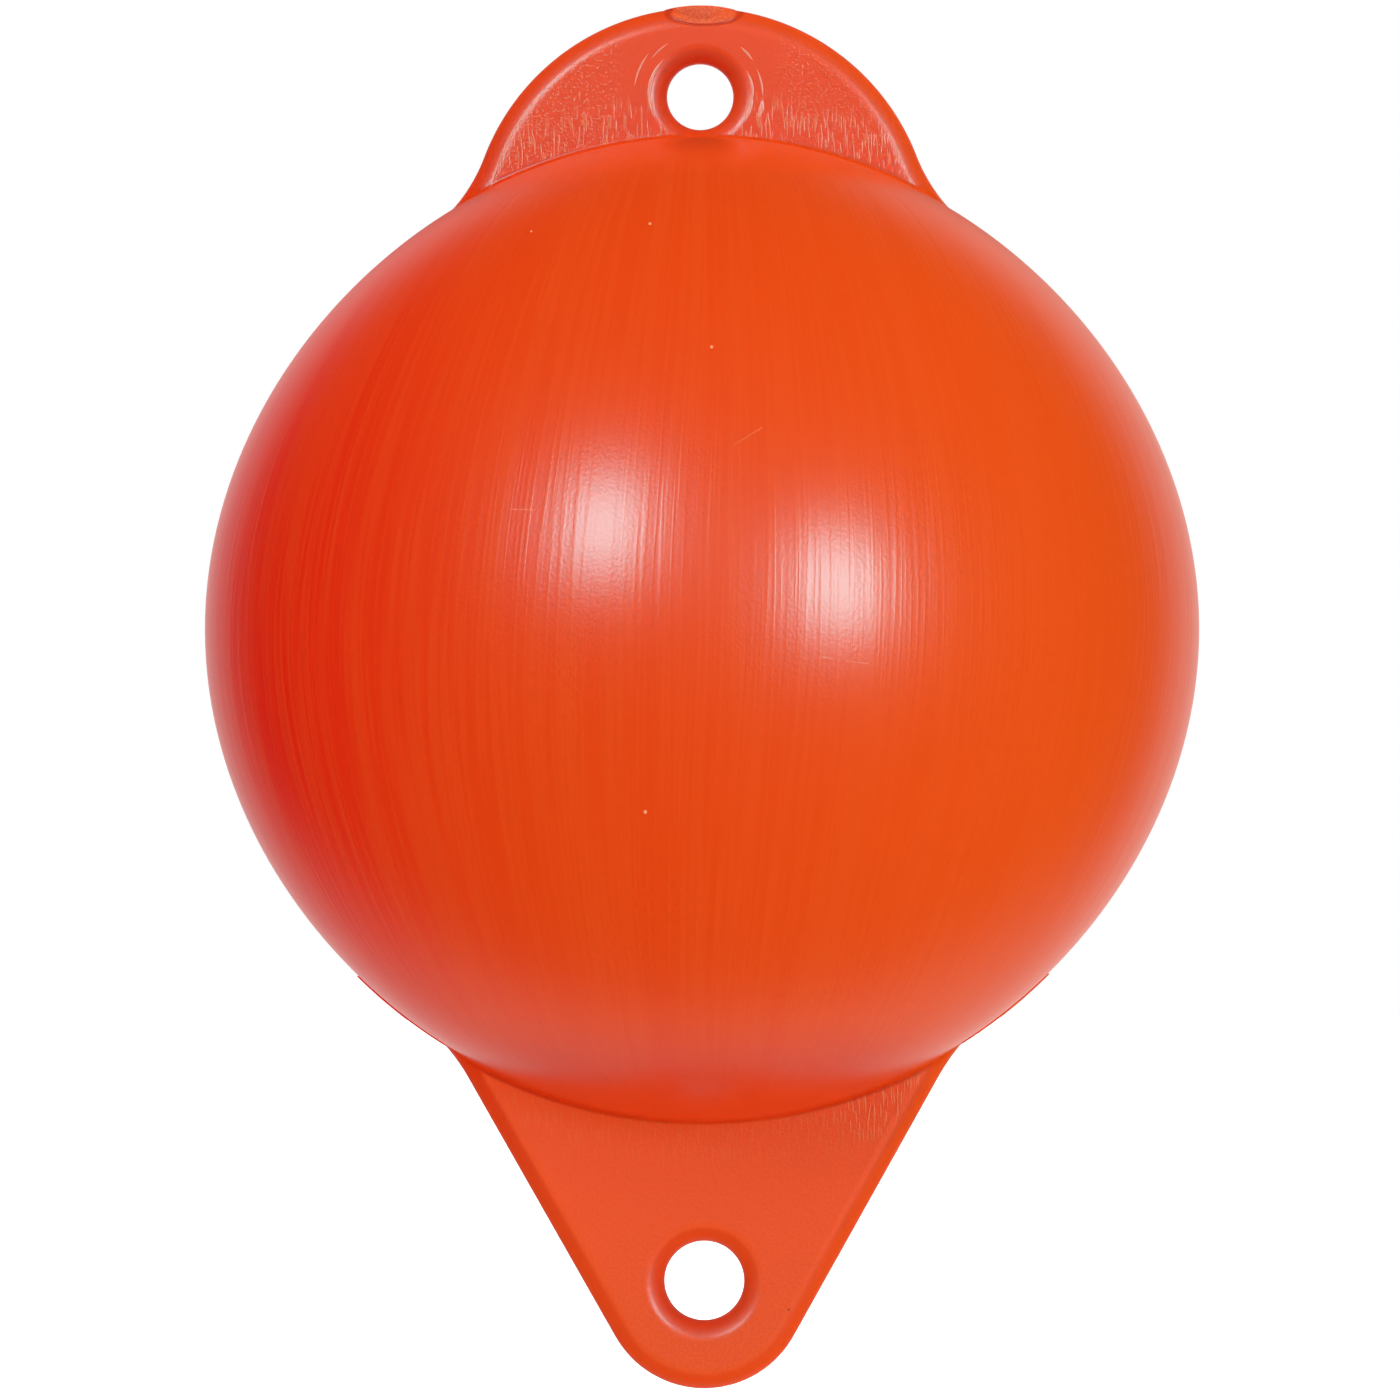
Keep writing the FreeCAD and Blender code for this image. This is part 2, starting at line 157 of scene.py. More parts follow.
def plate_field(p):
    """Distance from the plate of both lugs, with its rounded rim and the mouths of the eyes."""
    x, y, z = p[..., 0], p[..., 1], p[..., 2]
    result = rounded_edge(outline_field(x, z), y, RIM_FILLET)
    for height, radius, fillet in (UPPER_EYE, LOWER_EYE):
        inside = radius - np.hypot(x, z - height)
        result = np.maximum(result, rounded_edge(inside, y, fillet))
    return result


def slope(field, p, step=1e-4):
    """The gradient of a field, by central differences, as unit vectors."""
    parts = []
    for axis in range(3):
        shift = np.zeros(3)
        shift[axis] = step
        parts.append(field(p + shift) - field(p - shift))
    gradient = np.stack(parts, -1)
    return gradient / np.maximum(np.linalg.norm(gradient, axis=-1, keepdims=True), 1e-12)


def settle(p, rounds=4):
    """Move points onto the lugs' surface."""
    for _ in range(rounds):
        p = p - plate_field(p)[..., None] * slope(plate_field, p)
    return p


def settle_in_crease(p, share, rounds=14, longest=1.5):
    """Move points onto the crease's fillet, at a share of its turn from the ball to the lug."""
    for _ in range(rounds):
        ball = slope(ball_field, p)
        plate = slope(plate_field, p)
        cosine = np.clip((ball * plate).sum(-1), -1, 0.9999)
        angle = np.arccos(cosine)
        off_ball = ball_field(p) - CREASE * (1 - np.cos(share * angle))
        off_plate = plate_field(p) - CREASE * (1 - np.cos((1 - share) * angle))
        sine = np.maximum(1 - cosine**2, 1e-3)
        along_ball = (off_ball - cosine * off_plate) / sine
        along_plate = (off_plate - cosine * off_ball) / sine
        move = along_ball[..., None] * ball + along_plate[..., None] * plate
        length = np.linalg.norm(move, axis=-1, keepdims=True)
        p = p - move * np.minimum(1, longest / np.maximum(length, 1e-9))
    ball_share = np.sin((1 - share) * angle)[..., None]
    plate_share = np.sin(share * angle)[..., None]
    normal = ball_share * ball + plate_share * plate
    return p, normal / np.linalg.norm(normal, axis=-1, keepdims=True)


# How many quads run along the front of each crease, round its ends, across it, down the ball and
# from the ring round each eye to the middle of its bore.
ALONG = 144
ROUND_END = 16
ACROSS_CREASE = 6
DOWN_THE_BALL = 56
INTO_THE_EYE = 12
COLUMNS = 2 * (ALONG + ROUND_END)

# How the rows of a lug's side are shaped: how far out the ring round the eye lies, how the upper
# lug's columns swing round its corners, and how many of the rim's columns a corner reaches.
RING_SHARE = 0.72
CORNER_SWING = (1.15, 2.3)
CORNER_REACH = 8


def crease_rows(corner, end, spread):
    """Rows of the crease's fillet, from the lug's side to the ball's, each a closed loop."""
    share = np.linspace(-1, 1, ALONG + 1)
    x = corner[0] * np.sinh(spread * share) / math.sinh(spread)
    front = np.stack([x, np.full_like(x, -HALF_THICKNESS), corner[1] * np.ones_like(x)], -1)
    height = np.sqrt(np.maximum((corner[0] ** 2 + corner[1] ** 2) - x**2, 0))
    front[:, 2] = math.copysign(1, corner[1]) * height
    turn = np.linspace(-math.pi / 2, math.pi / 2, ROUND_END + 1)[1:]
    bend = np.cos(turn)
    right = np.stack([corner[0] + (end[0] - corner[0]) * bend, HALF_THICKNESS * np.sin(turn),
                      corner[1] + (end[1] - corner[1]) * bend], -1)
    back = front[::-1] * [1, -1, 1]
    left = right[:-1] * [-1, -1, 1]
    start = np.concatenate([front, right, back[1:], left])
    start, _ = settle_in_crease(start, 0.5, 24)
    rows = [settle_in_crease(start, share) for share in np.linspace(1, 0, ACROSS_CREASE + 1)]
    return np.array([row[0] for row in rows]), np.array([row[1] for row in rows])


def equator_row():
    """A point of the equator for each column of the creases: front, right end, back and left end."""
    wide = 162.0
    narrow = 180.0 - wide
    start = 180.0 + narrow / 2
    parts = []
    for arc, count in ((wide, ALONG), (narrow, ROUND_END)) * 2:
        parts.append(np.linspace(start, start + arc, count + 1)[:-1])
        start = (start + arc) % 360
    angle = np.radians(np.concatenate(parts))
    return np.stack([np.cos(angle), np.sin(angle), np.zeros_like(angle)], -1)


def sweep(start, end, shares):
    """Rows of points of the unit sphere between two rows, along great circles."""
    angle = np.arccos(np.clip((start * end).sum(-1), -1, 1))[None, :, None]
    t = np.asarray(shares)[:, None, None]
    return (np.sin((1 - t) * angle) * start + np.sin(t * angle) * end) / np.sin(angle)


def ball_rows(top, bottom):
    """Rows of the ball between the two creases, closest together next to them."""
    even = np.linspace(0, 1, DOWN_THE_BALL + 1)
    share = 0.3 * even + 0.7 * even**2
    middle = equator_row()
    upper = sweep(top / np.linalg.norm(top, axis=-1, keepdims=True), middle, share)
    lower = sweep(bottom / np.linalg.norm(bottom, axis=-1, keepdims=True), middle, share)
    upper = upper * ball_radius(upper[..., 2])[..., None]
    lower = lower * ball_radius(lower[..., 2])[..., None]
    upper[0] = top
    lower[0] = bottom
    return np.concatenate([upper, lower[-2::-1]])


class Outline:
    """The right half of a lug's outline, from the ball to the float's axis, by its length."""

    def __init__(self, upper):
        if upper:
            centre, flare = CROWN_FLARE_CENTRE, CROWN_FLARE
            middle = np.array(CROWN_CENTRE)
            top = math.atan2(middle[1] - centre[1], middle[0] - centre[0])
            joint = math.atan2(centre[1] - middle[1], centre[0] - middle[0])
            self.edge = 0.0
            self.arc = (middle, CROWN_RADIUS, joint, math.pi / 2)
        else:
            centre, flare = TIP_FLARE_CENTRE, TIP_FLARE
            middle = np.array(TIP_CENTRE)
            top = math.atan2(-EDGE_NORMAL[1], -EDGE_NORMAL[0])
            self.joint = centre - flare * EDGE_NORMAL
            self.edge = float(np.linalg.norm(self.joint - (middle + TIP_RADIUS * EDGE_NORMAL)))
            self.arc = (middle, TIP_RADIUS, -TAPER, -math.pi / 2)
        foot = math.atan2(-centre[1], -centre[0])
        self.flare = (centre, flare, foot % (2 * math.pi), top % (2 * math.pi))
        self.flare_length = self.flare[1] * abs(self.flare[3] - self.flare[2])
        self.arc_length = self.arc[1] * abs(self.arc[3] - self.arc[2])
        self.length = self.flare_length + self.edge + self.arc_length

    def place(self, s):
        """Points of the outline and its outward normals, at lengths from the ball."""
        s = np.asarray(s, float)
        centre, radius, first, last = self.flare
        angle = first + np.clip(s, 0, self.flare_length) / radius * np.sign(last - first)
        ray = np.stack([np.cos(angle), np.sin(angle)], -1)
        point = centre + radius * ray
        normal = -ray
        if self.edge:
            along = s - self.flare_length
            chosen = (along > 0)[..., None]
            point = np.where(chosen, self.joint - EDGE_ALONG * along[..., None], point)
            normal = np.where(chosen, EDGE_NORMAL, normal)
        past = s - self.flare_length - self.edge
        centre, radius, first, last = self.arc
        angle = first + np.maximum(past, 0) / radius * np.sign(last - first)
        ray = np.stack([np.cos(angle), np.sin(angle)], -1)
        chosen = (past > 0)[..., None]
        return np.where(chosen, centre + radius * ray, point), np.where(chosen, ray, normal)

    def locate(self, points):
        """The length from the ball of points near the flare."""
        centre, radius, first, last = self.flare
        angle = np.arctan2(points[:, 1] - centre[1], points[:, 0] - centre[0]) % (2 * math.pi)
        return np.abs(angle - first) * radius

    def all_along(self, start, share):
        """Points from a start on the right, over the lug's end, to the same place on the left."""
        whole = 2 * self.length
        s = start + (whole - 2 * start) * share
        point, normal = self.place(np.minimum(s, whole - s))
        side = np.where(s > self.length, -1.0, 1.0)[..., None] * [1, 0] + [0, 1]
        return point * side, normal * side


def rim_rows(outline, loop, stations):
    """Rows of a lug's rounded rim, from its right end at the ball to its left end."""
    first = loop[ALONG:ALONG + ROUND_END + 1]
    last = loop[np.arange(COLUMNS, COLUMNS - ROUND_END - 1, -1) % COLUMNS]
    y = first[:, 1]
    inset = -rounded_inset(np.abs(y))
    start = outline.locate(first[:, [0, 2]])
    rows = []
    for share in np.linspace(0, 1, stations + 1):
        point, normal = outline.all_along(start, share)
        flat = point + normal * inset[:, None]
        rows.append(np.stack([flat[:, 0], y, flat[:, 1]], -1))
    rows = settle(np.array(rows))
    rows[0] = first
    rows[-1] = last
    return rows


def rounded_inset(y):
    """How far the rim has drawn in from its outline at this distance from the parting plane."""
    rise = np.clip((y - (HALF_THICKNESS - RIM_FILLET)) / RIM_FILLET, 0, 1)
    return RIM_FILLET * (1 - np.sqrt(1 - rise**2))


def unroll(points, eye):
    """Places round an eye: the distance along the surface and the direction."""
    height, radius, fillet = eye
    x, y, z = points[:, 0], np.abs(points[:, 1]), points[:, 2] - height
    away = np.hypot(x, z)
    turn = np.arctan2(y - (HALF_THICKNESS - fillet), radius + fillet - away)
    on_mouth = away < radius + fillet
    distance = np.where(on_mouth, radius + fillet - fillet * (math.pi / 2 - turn), away)
    return distance, np.arctan2(z, x)


def roll_up(flat, eye, side):
    """The point of the lug's surface at a place of the unrolled plane."""
    height, radius, fillet = eye
    mouth = radius + fillet
    quarter = fillet * math.pi / 2
    bend_depth = HALF_THICKNESS - fillet
    distance = np.hypot(flat[..., 0], flat[..., 1])
    ray = flat / distance[..., None]
    turn = np.clip(math.pi / 2 - (mouth - distance) / fillet, 0, math.pi / 2)
    on_mouth = distance < mouth
    on_bend = mouth - distance < quarter
    away = np.where(on_bend, mouth - fillet * np.cos(turn), radius)
    away = np.where(on_mouth, away, distance)
    in_bore = bend_depth - np.maximum(mouth - distance - quarter, 0)
    y = np.where(on_bend, bend_depth + fillet * np.sin(turn), in_bore)
    y = np.where(on_mouth, y, HALF_THICKNESS)
    return np.stack([ray[..., 0] * away, side * y, ray[..., 1] * away + height], -1)


def face_rows(crease, rim, eye, side, outer, corner_turn, corner_lift):
    """Rows of one side of a lug, from its border in to the middle of the eye's bore."""
    height, radius, fillet = eye
    border = np.concatenate([crease, rim[1:-1]])
    away, turn = unroll(border, eye)
    count = len(crease)
    upright = 1 if height > 0 else -1
    middle = -math.pi / 2 * upright
    crease_turn = np.unwrap(turn[:count])
    turns_off = round((crease_turn[count // 2] - middle) / (2 * math.pi))
    crease_turn = crease_turn - turns_off * 2 * math.pi
    if corner_turn is None:
        target = crease_turn
        rim_turn = np.unwrap(np.concatenate([[target[-1]], turn[count:]]))[1:]
    else:
        steepness, spread = CORNER_SWING
        swing = np.arctan(steepness * np.sinh(spread * np.linspace(-1, 1, count)))
        target = middle + corner_turn * swing / swing[-1]
        whole = 2 * math.pi - abs(target[-1] - target[0])
        rim_turn = target[-1] + upright * whole * np.linspace(0, 1, len(rim))[1:-1]
    goal = np.concatenate([target, rim_turn])
    least = radius + fillet - fillet * math.pi / 2 - (HALF_THICKNESS - fillet)
    order = np.argsort(crease_turn)
    nearest = np.interp(goal, crease_turn[order], away[:count][order], left=1e3, right=1e3)
    ring = np.minimum(radius + fillet, least + RING_SHARE * (nearest - least))
    start = away[:, None] * np.stack([np.cos(turn), np.sin(turn)], -1)
    ray = np.stack([np.cos(goal), np.sin(goal)], -1)
    station = np.arange(1, len(rim) - 1)
    past_corner = np.minimum(station, len(rim) - 1 - station)
    along_crease = np.abs(np.linspace(-1, 1, count)) ** 6
    along_rim = np.exp(-((past_corner / CORNER_REACH) ** 2))
    near_corner = np.concatenate([along_crease, along_rim])
    lift = np.array([0, upright * corner_lift]) * near_corner[:, None]
    rows = []
    for share in np.linspace(0, 1, outer + 1):
        straight = start + (ring[:, None] * ray - start) * share
        rows.append(straight + lift * 4 * share * (1 - share))
    for share in np.linspace(0, 1, INTO_THE_EYE + 1)[1:]:
        rows.append((ring + (least - ring) * share)[:, None] * ray)
    rows = roll_up(np.array(rows), eye, side)
    rows[-1, :, 1] = 0.0
    rows[1:-1] = settle(rows[1:-1])
    rows[0] = border
    return rows


def quads(rows, closed):
    """The corners of the quads of a grid of points."""
    following = np.roll(rows, -1, axis=1) if closed else rows[:, 1:]
    here = rows if closed else rows[:, :-1]
    return np.stack([here[:-1], following[:-1], following[1:], here[1:]], 2).reshape(-1, 4, 3)


def patch(rows, normals, closed):
    """A grid's quads and the normals at their corners, wound so that they face outward."""
    corners = quads(rows, closed)
    facing = quads(normals, closed)
    spans = np.cross(corners[:, 2] - corners[:, 0], corners[:, 3] - corners[:, 1])
    if (spans * facing.sum(1)).sum() < 0:
        return corners[:, ::-1], facing[:, ::-1]
    return corners, facing


def lug_patches(upper, crease, stations, outer, corner_turn, corner_lift):
    """The patches of a lug: its crease, its rim and both its sides."""
    eye = UPPER_EYE if upper else LOWER_EYE
    rows, normals = crease
    loop = rows[0]
    rim = rim_rows(Outline(upper), loop, stations)
    front = face_rows(loop[:ALONG + 1], rim[:, 0], eye, -1, outer, corner_turn, corner_lift)
    back_crease = loop[np.arange(2 * ALONG + ROUND_END, ALONG + ROUND_END - 1, -1)]
    back = face_rows(back_crease, rim[:, -1], eye, 1, outer, corner_turn, corner_lift)
    back[-1] = front[-1]
    patches = [patch(rows, normals, True), patch(rim, slope(plate_field, rim), False)]
    for side in (front, back):
        patches.append(patch(side, slope(plate_field, side), True))
    return patches


def float_mesh():
    """Vertices, quads and normals of the whole float."""
    top = crease_rows(CROWN_CORNER, CROWN_END, spread=2.3)
    bottom = crease_rows(TIP_CORNER, TIP_END, spread=0.6)
    patches = lug_patches(True, top, stations=112, outer=12,
                          corner_turn=math.radians(92), corner_lift=2.2)
    patches += lug_patches(False, bottom, stations=130, outer=16,
                           corner_turn=None, corner_lift=-1.0)
    ball = ball_rows(top[0][-1], bottom[0][-1])
    patches.append(patch(ball, slope(ball_field, ball), True))
    corners = np.concatenate([corners for corners, _ in patches]).reshape(-1, 3)
    facing = np.concatenate([facing for _, facing in patches]).reshape(-1, 3)
    places, index = np.unique(np.round(corners, 7), axis=0, return_inverse=True)
    index = index.reshape(-1)
    normals = np.zeros_like(places)
    np.add.at(normals, index, facing)
    normals /= np.linalg.norm(normals, axis=-1, keepdims=True)
    return places, index.reshape(-1, 4), normals


# The pinch-off ridges: their reach in degrees below the equator, and their section as shares of the
# half width and drops below the top.
RIDGE_ANGLES = (45.0, 64.0)
RIDGE_STATIONS = 40
RIDGE_HALF_WIDTH = 0.6
RIDGE_RADIUS = 73.94
RIDGE_SECTION = ((-1.0, -1.1), (-1.0, -0.12), (-0.8, 0.0), (0.8, 0.0), (1.0, -0.12), (1.0, -1.1))

# The trimmed stub of the moulding's tail: its lens, and its rings as shares of the lens and drops
# below the top.
STUB_LENGTH = 10.9
STUB_WIDTH = 6.4
STUB_HEIGHT = 0.15
STUB_RINGS = ((0.03, 0), (0.35, 0), (0.65, 0), (0.86, 0),
              (0.94, 0.02), (0.98, 0.08), (1, 0.2), (1, 3.6))


def tube(rows):
    """A closed shell: rings of points joined by quads, with both end rings filled."""
    count = rows.shape[1]
    index = np.arange(rows.shape[0] * count).reshape(rows.shape[:2])
    following = np.roll(index, -1, axis=1)
    sides = np.stack([index[:-1], following[:-1], following[1:], index[1:]], 2)
    faces = sides.reshape(-1, 4).tolist()
    faces.append(index[0][::-1].tolist())
    faces.append(index[-1].tolist())
    return rows.reshape(-1, 3), faces


def ridge_shell(side):
    """The ridge of one lower shoulder."""
    across, drop = np.array(RIDGE_SECTION).T
    angle = np.radians(np.linspace(*RIDGE_ANGLES, RIDGE_STATIONS))[:, None]
    radius = RIDGE_RADIUS + drop
    y = np.broadcast_to(across * RIDGE_HALF_WIDTH, (RIDGE_STATIONS, len(across)))
    rows = np.stack([side * np.cos(angle) * radius, y, -np.sin(angle) * radius], -1)
    return tube(rows if side > 0 else rows[:, ::-1])


def stub_shell():
    """The lens-shaped stub on the crown, with its top trimmed along the crown."""
    radius = (STUB_LENGTH**2 + STUB_WIDTH**2) / (4 * STUB_WIDTH)
    aside = radius - STUB_WIDTH / 2
    x = STUB_LENGTH / 2 * np.sin(np.linspace(-math.pi / 2, math.pi / 2, 33))
    y = np.sqrt(radius**2 - x**2) - aside
    ring = np.concatenate([np.stack([x, -y], -1), np.stack([x, y], -1)[-2:0:-1]])
    top = CROWN_RADIUS + STUB_HEIGHT
    rows = []
    for share, drop in STUB_RINGS:
        across = ring * share
        up = CROWN_CENTRE[1] + np.sqrt(top**2 - across[:, 0] ** 2) - drop
        rows.append(np.stack([across[:, 0], across[:, 1], up], -1))
    return tube(np.array(rows)[::-1])


def make_moulding():
    """The float as one mesh in the part's own frame."""
    places, faces, normals = float_mesh()
    faces = faces.tolist()
    for points, shell_faces in (stub_shell(), ridge_shell(1), ridge_shell(-1)):
        faces += [[index + len(places) for index in face] for face in shell_faces]
        places = np.concatenate([places, points])
        normals = np.concatenate([normals, np.zeros_like(points)])
    places = (places - [0, 0, EYE_RISE]) * MM
    mesh = bpy.data.meshes.new("float_moulding")
    mesh.from_pydata(places.tolist(), [], faces)
    mesh.polygons.foreach_set("use_smooth", np.ones(len(mesh.polygons), bool))
    mesh.normals_split_custom_set_from_vertices(normals.tolist())
    mesh.update()
    item = bpy.data.objects.new("float_moulding", mesh)
    bpy.context.scene.collection.objects.link(item)
    return item


class Tree:
    """The node tree of a material or world, and short ways to add the nodes that it needs."""

    def __init__(self, owner):
        owner.use_nodes = True
        self.tree = owner.node_tree
        self.tree.nodes.clear()

    def node(self, kind, **settings):
        """A node of a kind, with its properties."""
        node = self.tree.nodes.new(kind)
        for name, value in settings.items():
            setattr(node, name, value)
        return node

    def feed(self, socket, value):
        """Give a socket a number, a colour or another node's output."""
        if isinstance(value, bpy.types.NodeSocket):
            self.tree.links.new(value, socket)
        else:
            socket.default_value = value

    def math(self, operation, *values):
        """A number worked out from other numbers."""
        node = self.node("ShaderNodeMath", operation=operation)
        for index, value in enumerate(values):
            self.feed(node.inputs[index], value)
        return node.outputs[0]

    def sum(self, *values):
        """The sum of several numbers."""
        total = values[0]
        for value in values[1:]:
            total = self.math("ADD", total, value)
        return total

    def product(self, *values):
        """The product of several numbers."""
        total = values[0]
        for value in values[1:]:
            total = self.math("MULTIPLY", total, value)
        return total

    def weighted(self, *pairs):
        """The sum of several numbers, each times its weight."""
        return self.sum(*[self.product(value, weight) for value, weight in pairs])

    def minus(self, first, second):
        """The difference of two numbers."""
        return self.math("SUBTRACT", first, second)

    def rest(self, share):
        """What a share leaves of one."""
        return self.minus(1.0, share)

    def unsigned(self, value):
        """A number without its sign."""
        return self.math("ABSOLUTE", value)

    def apart(self, first, second):
        """How far apart two numbers are."""
        return self.unsigned(self.minus(first, second))

    def flat_length(self, across, up):
        """The length of a flat vector."""
        return self.math("SQRT", self.sum(self.product(across, across), self.product(up, up)))

    def strongest(self, masks):
        """The strongest of several masks at each place."""
        strongest = 0.0
        for mask in masks:
            strongest = self.math("MAXIMUM", strongest, mask)
        return strongest

    def ramp(self, value, low, high, bottom=0.0, top=1.0):
        """A smooth step from one number to another."""
        node = self.node("ShaderNodeMapRange", interpolation_type="SMOOTHSTEP")
        for name, number in (("Value", value), ("From Min", low), ("From Max", high),
                             ("To Min", bottom), ("To Max", top)):
            self.feed(node.inputs[name], number)
        return node.outputs["Result"]

    def fade(self, value, low, high, bottom=0.0):
        """A smooth step down from one."""
        return self.ramp(value, low, high, 1.0, bottom)

    def vector(self, x, y):
        """A flat vector from two numbers."""
        node = self.node("ShaderNodeCombineXYZ")
        self.feed(node.inputs[0], x)
        self.feed(node.inputs[1], y)
        return node.outputs[0]

    def noise(self, place, scale=1.0, dimensions="2D"):
        """Smooth noise from 0 to 1 at a place, of one octave."""
        node = self.node("ShaderNodeTexNoise", noise_dimensions=dimensions)
        for name, value in (("Vector", place), ("Scale", scale), ("Detail", 0.0)):
            self.feed(node.inputs[name], value)
        return node.outputs[0]

    def blend(self, share, first, second):
        """A colour between two colours."""
        node = self.node("ShaderNodeMix", data_type="RGBA", clamp_factor=True)
        self.feed(node.inputs[0], share)
        self.feed(node.inputs[6], first)
        self.feed(node.inputs[7], second)
        return node.outputs[2]

    def mix(self, share, first, second):
        """A number between two numbers."""
        node = self.node("ShaderNodeMix", data_type="FLOAT", clamp_factor=True)
        self.feed(node.inputs[0], share)
        self.feed(node.inputs[2], first)
        self.feed(node.inputs[3], second)
        return node.outputs[0]


# Where the material's masks begin and end, in millimetres from the ball's centre (AWAY), the
# equator (HEIGHT, or RISE with its sign), the parting plane (DEPTH) and the axis (ASIDE, or SIDE
# with its sign). A third number is what is left past the end.
LUG_AWAY = (74.4, 75.0)
LUG_HEIGHT = (52.0, 60.0)
FACE_DEPTH = (3.2, 3.45)
SEAM_DEPTH = (0.12, 0.34)
BALL_DEPTH = (6.0, 36.0)
BALL_HEIGHT = (48.0, 62.0)
STREAK_AWAY = (76.5, 84.0)
STREAK_SIDE = (17.0, 26.0)
DOT_ASIDE = (9.0, 16.0)
DOT_SIDE = (10.0, 20.0, 0.6)
RIM_SIDE = (-12.0, 10.0, 0.3)
RIM_ASIDE = (7.0, 11.0)
RIM_FOOT_RISE = (66.0, 67.5)
RIM_TOP_RISE = (73.0, 84.0, 0.2)
RIM_DEPTH = (2.8, 3.1)
# The next two place the painted shade on the ball above the lower crease.
CREASE_SHADE_RISE = (-67.0, -56.0)
CREASE_SHADE_ASIDE = (22.0, 44.0)

# The painted highlight along the crown's rim: its radius round the crown's centre, and its soft
# edge.
RIM_RADIUS = 32.6
RIM_EDGE = (0.1, 0.34)

# The die lines, broad, middle and fine: how many to a millimetre, their length and a seed. They
# lean to the right, spread near the poles, and are others on the back.
DIE_LINES = ((0.25, 90.0, 3.0), (0.75, 45.0, 11.0), (1.9, 26.0, 23.0))
LINES_LEAN = -0.044
LINES_SPREAD = 18.0
LINES_ON_FRONT = 137.0

# The other patterns: orange peel, the lugs' grain, and short streaks across and up. All are noise,
# at so many waves to a millimetre.
PEEL_WAVES = 2.1
GRAIN_WAVES = 2.5
STREAK_WAVES = (3.1, 0.36)

# The stub's trimmed face, as the photograph's side shows it: its middle across and up, and its half
# width and half height. The groove round it is so many times as large.
TRIM_MIDDLE = (0.6, 92.9)
TRIM_HALF = (5.1, 1.75)
TRIM_GROOVE = 1.08

# Curved strokes beside the upper eye, a slight relief with a painted glint: middle and half angle in
# degrees, then radius and half width.
RIGHT_STROKES = ((-14.0, 22.0, 7.7, 0.4), (12.0, 18.0, 7.9, 0.26), (-13.0, 9.0, 9.4, 0.38),
                 (12.0, 14.0, 9.4, 0.2), (42.0, 9.0, 9.5, 0.24))
LEFT_STROKES = ((12.0, 36.0, 7.7, 0.3), (48.0, 12.0, 9.2, 0.14), (24.0, 18.0, 10.0, 0.16))

# Scratches and specks of the front: places in the parting plane, then width or radius. The cores
# are the shares of that width or radius at full strength.
SCRATCHES = (((17.0, -4.6), (18.4, -4.9), 0.13), ((20.4, -5.2), (23.6, -5.6), 0.13),
             ((4.6, 25.6), (8.6, 28.1), 0.12), ((-27.3, 16.6), (-24.0, 16.5), 0.14))
PALE_SPECKS = (((-8.2, -26.6), 0.34), ((1.5, 39.9), 0.3), ((-7.4, 58.7), 0.28), ((-24.8, 58.0), 0.2))
DARK_SPECKS = (((12.7, -102.6), 0.3),)
SCRATCH_CORE = 0.3
SPECK_CORE = 0.4

# The plastic's colours: the ball's from left to right, redder on the left as painted shade and more
# orange on the right as painted light, and in the die lines' pale clouds, then the lugs' faces,
# then the marks.
LEFT_SHADE_RED = (0.80, 0.014, 0.003, 1)
MIDDLE_RED = (0.80, 0.059, 0.004, 1)
RIGHT_LIT_ORANGE = (0.80, 0.079, 0.005, 1)
CLOUD_ORANGE = (0.84, 0.10, 0.014, 1)
# Painted light on the lower face: it brightens from the tip to the root, against the ball's shade.
TIP_ORANGE = (0.84, 0.088, 0.015, 1)
ROOT_LIT_ORANGE = (1.0, 0.10, 0.016, 1)
GRAIN_ORANGE = (0.96, 0.15, 0.045, 1)
# Painted light: the upper face is brighter than the ball, against the ball's shade on it.
CROWN_LIT_ORANGE = (0.96, 0.078, 0.006, 1)
# Painted shade, dark crimson, on the ball above the lower crease.
CREASE_SHADE_CRIMSON = (0.58, 0.012, 0.003, 1)
# Painted glints on the lugs' streaks and dots.
GLINT_PALE = (0.92, 0.30, 0.10, 1)
# Painted glint on the curved strokes beside the upper eye.
STROKE_GLINT_PALE = (0.94, 0.45, 0.32, 1)
# Painted highlight along the crown's rim.
RIM_HIGHLIGHT_PALE = (0.9, 0.30, 0.18, 1)
TORN_ORANGE = (0.9, 0.2, 0.05, 1)
# Painted shade in the groove round the trimmed stub.
GROOVE_SHADE_DARK = (0.5, 0.02, 0.004, 1)
SCRATCH_PALE = (0.9, 0.36, 0.2, 1)
SPECK_PALE = (0.95, 0.55, 0.3, 1)
SPECK_DARK = (0.25, 0.02, 0.01, 1)

# Where the ball's three colours and the lower lug's two lie, in millimetres.
LEFT_SIDE = -70.0
MIDDLE_SIDE = -15.0
RIGHT_SIDE = 55.0
TIP_RISE = -112.0
ROOT_RISE = -80.0

# The plastic's gloss.
GLOSS_ROUGHNESS = 0.32
REFRACTIVE_INDEX = 1.6
REFLECTIVITY = 0.9


